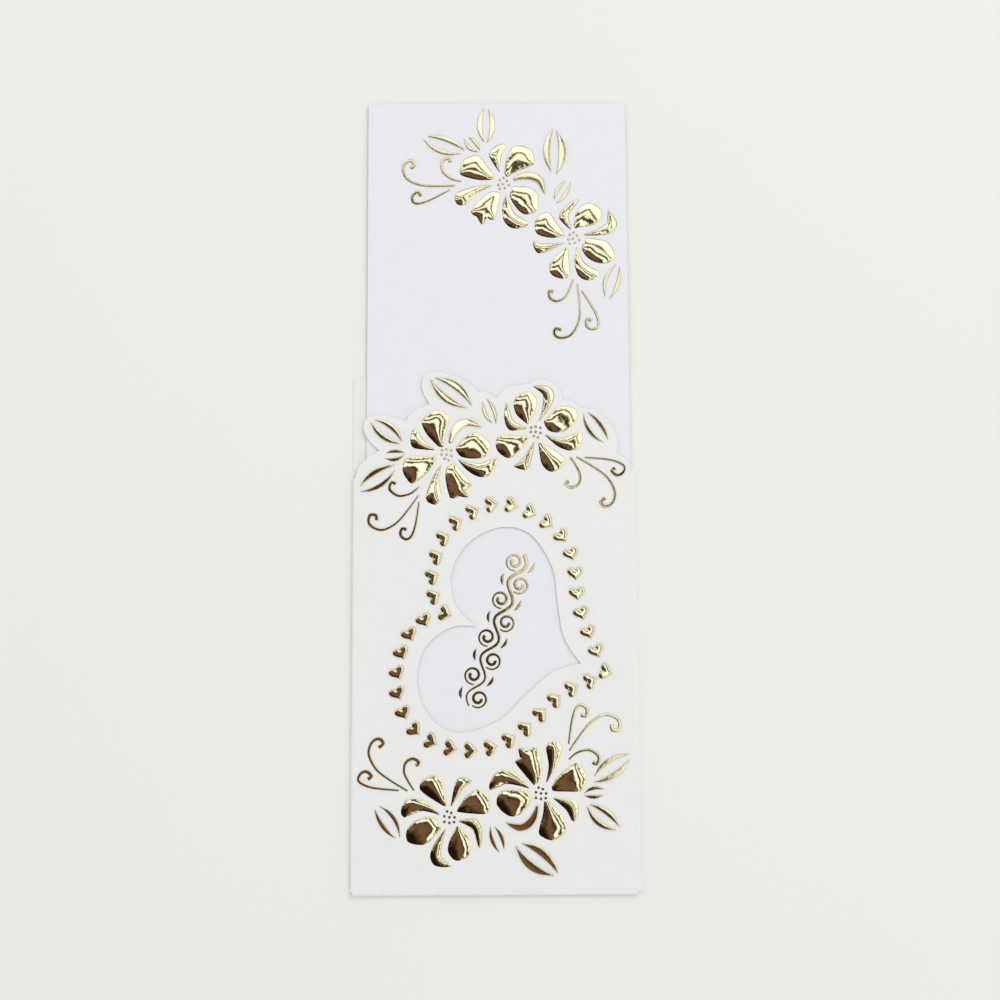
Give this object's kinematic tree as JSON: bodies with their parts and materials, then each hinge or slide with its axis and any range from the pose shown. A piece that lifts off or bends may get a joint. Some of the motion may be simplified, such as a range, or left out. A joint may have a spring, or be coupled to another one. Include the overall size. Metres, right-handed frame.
{
  "type": "pocket wedding invitation",
  "caption": "Slim white wedding invitation: a folded card pocket with a heart window and a scalloped edge holds an insert card, with raised gold foil flowers and hearts on both.",
  "frame": {"origin": "middle of the outline in plan, at the underside of the pocket's back panel", "axes": "+Y along the card towards the insert's top edge, +X to the reader's right, +Z out of the front"},
  "size_m": [0.0746, 0.211, 0.0019],
  "materials": {
    "pocket_card": "smooth uncoated card, faintly warm white",
    "insert_card": "smooth uncoated card, faintly blue white",
    "gold_foil": "embossed card faced with mirror-bright gold hot-stamping foil"
  },
  "bodies": {
    "root": {"pocket": "pocket_card", "insert_card": "insert_card", "lower_spray_foil": "gold_foil", "heart_border_foil": "gold_foil", "upper_spray_foil": "gold_foil", "card_spray_foil": "gold_foil", "flourish_foil": "gold_foil"}
  },
  "joints": []
}
